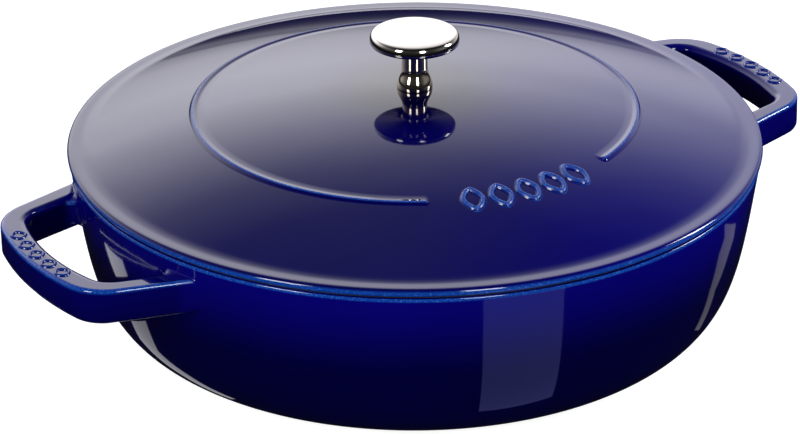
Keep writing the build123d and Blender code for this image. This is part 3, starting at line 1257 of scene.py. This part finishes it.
class BRAISER_OT_lid(bpy.types.Operator):
    """Model the cast lid with its ring, its row of lozenges, its skirt and its drip studs"""

    bl_idname = "braiser.lid"
    bl_label = "Lid"

    def execute(self, context):
        lid = context.scene.braiser_lid
        seat = context.scene.braiser_pot.rim_height
        dome = Dome(lid, seat)
        piece = turned("lid_dome", lid_section(lid, dome, seat), lid.steps, closed=True)
        ring = raised_ring(lid, dome)
        studs = drip_studs(lid, dome)
        turns = [lid.ring_middle + LID_PITCH * number for number in LOZENGES]
        places = [dome.frame(lid.ring_radius, turn, -LOZENGE_SINK) for turn in turns]
        joined(piece, [ring, studs, *copied(lozenge(**LID_LOZENGE), places)])

        def lined(centre, normal):
            radius = reach(centre.x, centre.y)
            under = radius < lid.skirt_radius and centre.z < dome.height(radius, lid.thickness * 0.7)
            return under or centre.z < seat + LEVEL

        enamelled(piece, lined, context)
        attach(piece, "lid")
        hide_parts("lid")
        return {"FINISHED"}


# Knob, screw and washer


def knob_section(knob, seat):
    """Half section of the knob, from the middle of its seat to the middle of its top."""
    bulge, neck, cap, top = knob.bulge, knob.neck, knob.cap, knob.height
    foot_in, foot_soft = 0.003, 0.0002
    bulge_height, neck_low, neck_high = 0.0006, 0.0094, 0.0154
    cap_height, under, lip = 0.0207, 0.0181, 0.0012
    shoulder, shoulder_height = cap - 0.0015, 0.02405
    waist = (neck_low - bulge_height) * 0.44
    flare = (under - neck_high) * 0.9
    flared = neck + (cap - neck) * 0.14
    lip_height = cap_height - lip
    side = cap_height + (shoulder_height - cap_height) * 0.52
    crown = shoulder_height + (top - shoulder_height) * 0.78

    section = Section(0.0, 0.0)
    section.line((foot_in, 0.0))
    section.line((bulge - foot_soft, 0.0), 2)
    section.curve((bulge - foot_soft / 2, 0.0), (bulge, bulge_height * 0.4), (bulge, bulge_height), 6)
    section.curve((bulge, bulge_height + waist), (neck, neck_low - waist), (neck, neck_low), 20)
    section.line((neck, neck_high), 3)
    section.curve((neck, neck_high + flare), (flared, under), (cap - lip, lip_height), 24)
    section.round((cap, lip_height), (cap, cap_height), 6)
    shoulder_in = (cap - 0.0004, shoulder_height - 0.0002)
    section.curve((cap, side), shoulder_in, (shoulder, shoulder_height), 12)
    section.curve((shoulder * 0.80, crown), (shoulder * 0.33, top), (0.0, top), 16)
    return [(radius, seat + rise) for radius, rise in section.ended()]


class BRAISER_OT_knob(bpy.types.Operator):
    """Model the turned and polished knob"""

    bl_idname = "braiser.knob"
    bl_label = "Knob"

    def execute(self, context):
        knob = context.scene.braiser_knob
        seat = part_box("knob")[1][2] - knob.height
        piece = turned("knob_turned", knob_section(knob, seat), knob.steps)
        piece.data.materials.append(finish_for(polished_nickel, context))
        smooth(piece)
        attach(piece, "lid")
        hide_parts("knob")
        return {"FINISHED"}


class BRAISER_OT_fixings(bpy.types.Operator):
    """Give the screw and its washer their steel"""

    bl_idname = "braiser.fixings"
    bl_label = "Screw and washer"

    def execute(self, context):
        steel = finish_for(turned_steel, context)
        for name in ("knob_screw", "washer"):
            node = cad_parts[name]
            node.data.materials.clear()
            node.data.materials.append(steel)
        return {"FINISHED"}


# Stage


def ahead_of_camera(stage, x, y):
    """How far a place or a direction lies along the camera's level view."""
    return x * sin(-stage.heading) + y * cos(stage.heading)


def floor_material():
    """Pale paper, which shows paler to the camera and in mirrors than to the light it throws."""
    material, shader = new_material("pale_floor")
    rays = ("Is Camera Ray", "Is Glossy Ray", "Is Transmission Ray")
    camera, glossy, through = [shader.node("ShaderNodeLightPath", output=ray) for ray in rays]
    shown = shader.node(
        "ShaderNodeMath", {"operation": "ADD", "use_clamp": True}, {0: camera + glossy, 1: through}
    )
    paper = shader.node("ShaderNodeBsdfDiffuse", None, {"Color": (0.52, 0.52, 0.53)})
    glow = shader.node("ShaderNodeEmission", None, {"Color": (1.0, 1.0, 1.0), "Strength": 0.86})
    lit = shader.node("ShaderNodeAddShader", None, {0: paper, 1: glow})
    shader.surface("ShaderNodeMixShader", {0: shown, 1: paper, 2: lit})
    return material


def studio_world(stage):
    """A dim studio with one wide, soft glow low behind the object, as seen from the camera."""
    world = bpy.data.worlds.new("studio")
    bpy.context.scene.world = world
    shader = Shader(world)
    x, y, z = shader.split(shader.node("ShaderNodeTexCoord", output="Generated"))
    ahead = ahead_of_camera(stage, x, y)
    right = x * cos(stage.heading) - y * sin(-stage.heading)
    degrees = shader.node("ShaderNodeMath", {"operation": "ARCTAN2"}, {0: right, 1: ahead}) * (180 / pi)

    # The glow fades to the right, the higher the more, and to the far right and the left
    glow = shader.node("ShaderNodeValToRGB", {"stops": GLOW_SHARES}, {"Fac": z * 0.5 + 0.5})
    higher = 0.26 + z.step(0.10, 0.34) * 0.46 + z.step(0.42, 0.62) * 0.08
    right_fade = 1.0 - degrees.step(-8, 28) * higher
    far_right = 1.0 - degrees.step(24, 80) * 0.8
    far_left = degrees.step(-105, -40) * 0.9 + 0.1
    left = degrees.step(-42, -6) * 0.20 + 0.80
    fade = right_fade * far_right * (far_left * left)

    # Behind the camera a faint, even light takes the glow's place
    front = 1.0 - ahead.step(-0.75, -0.15)
    faint = z.band(0.0, 0.30, 0.45, 0.80) * 0.03
    level = glow * (fade * (1.0 - front)) * stage.glow + front * faint + stage.dim
    shader.surface(
        "ShaderNodeBackground",
        {"Color": (0.97, 0.96, 1.0), "Strength": level},
        "ShaderNodeOutputWorld",
    )


def area_lamp(name, place, aim, size, power):
    """An area lamp at a place, turned towards its aim."""
    bpy.ops.object.light_add(type="AREA", location=place)
    lamp = bpy.context.object
    lamp.name = name
    lamp.data.shape = "RECTANGLE"
    lamp.data.size, lamp.data.size_y = size
    lamp.data.energy = power
    lamp.rotation_euler = (Vector(aim) - Vector(place)).to_track_quat("-Z", "Y").to_euler()
    return lamp


def tall_softbox(name, stage, turn, width, strength):
    """A tall narrow softbox, placed by its direction from the camera's side of the object."""
    heading = stage.heading + pi + turn
    place = Vector((-sin(heading), cos(heading), 0.0)) * SOFTBOX_DISTANCE
    place.z = SOFTBOX_RISE
    power = strength * pi * width * SOFTBOX_HEIGHT
    return area_lamp(name, place, SOFTBOX_AIM, (width, SOFTBOX_HEIGHT), power)


def only_mirrored(card):
    """Leaves a card to reflections alone: it lights nothing and the camera doesn't see it."""
    card.visible_camera = False
    card.visible_diffuse = False
    card.visible_shadow = False
    card.visible_transmission = False


def card_material(name, shade, strength):
    material, shader = new_material(name)
    shader.surface("ShaderNodeEmission", {"Color": shade, "Strength": strength})
    return material


def pale_card(name, stage, sides, shade, strength):
    """A pale card lying in the tray, between its two sides."""
    size = {"x_subdivisions": 1, "y_subdivisions": len(sides) - 1, "size": 1}
    card = primitive(name, bpy.ops.mesh.primitive_grid_add, **size)
    points = [point for pair in sides for point in pair]
    for vertex, (right, ahead) in zip(card.data.vertices, points):
        vertex.co = (right, ahead, 2 * stage.tray_lift)
    card.data.transform(Matrix.Rotation(stage.heading, 4, "Z"))
    card.data.materials.append(card_material(name, shade, strength))
    only_mirrored(card)


def tray_material(stage):
    """Black near the pot, and a little paler far behind it, where it runs into the glow."""
    material, shader = new_material("black_tray")
    x, y, _ = shader.split(shader.place())
    behind = ahead_of_camera(stage, x, y).step(0.3, 4.0)
    level = behind * 0.32 + reach(x, y).step(0.5, 2.5) * 0.025 + 0.006
    shade = shader.mix(level, (0.0, 0.0, 0.0), (1.0, 0.98, 1.0))
    shader.surface("ShaderNodeEmission", {"Color": shade, "Strength": 1.0})
    return material


def disc(name, radius, sides):
    size = {"vertices": sides, "radius": radius, "fill_type": "NGON"}
    return primitive(name, bpy.ops.mesh.primitive_circle_add, **size)


def black_tray(stage):
    """A wide black tray around the pot, which keeps the pale floor out of the glaze."""
    tray = disc("black_tray", stage.tray_radius, 96)
    edit(tray)
    bpy.ops.mesh.select_all(action="SELECT")
    bpy.ops.transform.translate(value=(0, 0, stage.tray_lift))
    bpy.ops.mesh.select_mode(type="EDGE")
    bpy.ops.mesh.region_to_loop()
    bpy.ops.mesh.extrude_edges_move(TRANSFORM_OT_translate={"value": (0, 0, stage.tray_wall)})
    leave_edit()
    tray.data.materials.append(tray_material(stage))
    only_mirrored(tray)


class BRAISER_OT_stage(bpy.types.Operator):
    """Set the floor, the cards, the lamps and the camera"""

    bl_idname = "braiser.stage"
    bl_label = "Stage"

    def execute(self, context):
        stage = context.scene.braiser_stage
        floor = disc("floor", stage.floor_radius, 64)
        floor.data.materials.append(floor_material())
        studio_world(stage)
        black_tray(stage)
        for name, (sides, shade, strength) in CARDS.items():
            pale_card(name, stage, sides, shade, strength)
        overhead = area_lamp("top_softbox", OVERHEAD_PLACE, OVERHEAD_AIM, OVERHEAD_SIZE, OVERHEAD_POWER)
        overhead.visible_glossy = False
        for name, (turn, width, strength) in SOFTBOXES.items():
            tall_softbox(name, stage, turn, width, strength)
        select()
        bpy.ops.object.camera_add()
        camera = context.object
        camera.name = "camera"
        camera.matrix_world = (
            Matrix.Translation(CAMERA_PLACE)
            @ Matrix.Rotation(stage.heading, 4, "Z")
            @ Matrix.Rotation(pi / 2 - stage.tilt, 4, "X")
            @ Matrix.Rotation(stage.roll, 4, "Z")
        )
        camera.data.sensor_fit = "HORIZONTAL"
        camera.data.sensor_width = 36.0
        camera.data.lens = stage.lens
        camera.data.shift_x, camera.data.shift_y = CAMERA_SHIFT
        camera.data.clip_end = 100.0
        context.scene.camera = camera
        context.scene.view_settings.view_transform = "Standard"
        return {"FINISHED"}


class BRAISER_PT_panel(bpy.types.Panel):
    """The braiser's pieces, each with its button"""

    bl_idname = "BRAISER_PT_panel"
    bl_label = "Braiser"
    bl_space_type = "VIEW_3D"
    bl_region_type = "UI"
    bl_category = "Braiser"

    def draw(self, context):
        for operator in OPERATORS:
            self.layout.operator(operator.bl_idname)


GROUPS = {
    "braiser_pot": BRAISER_PG_pot,
    "braiser_handle": BRAISER_PG_handle,
    "braiser_lid": BRAISER_PG_lid,
    "braiser_knob": BRAISER_PG_knob,
    "braiser_finish": BRAISER_PG_finish,
    "braiser_stage": BRAISER_PG_stage,
}
OPERATORS = (BRAISER_OT_pot, BRAISER_OT_lid, BRAISER_OT_knob, BRAISER_OT_fixings, BRAISER_OT_stage)
CLASSES = (*GROUPS.values(), *OPERATORS, BRAISER_PT_panel)


def register():
    for made in CLASSES:
        bpy.utils.register_class(made)
    for name, group in GROUPS.items():
        setattr(bpy.types.Scene, name, bpy.props.PointerProperty(type=group))


def unregister():
    for name in GROUPS:
        delattr(bpy.types.Scene, name)
    for made in reversed(CLASSES):
        bpy.utils.unregister_class(made)


def main():
    register()
    bpy.ops.braiser.pot()
    bpy.ops.braiser.lid()
    bpy.ops.braiser.knob()
    bpy.ops.braiser.fixings()
    bpy.ops.braiser.stage()


if __name__ == "__main__":
    main()
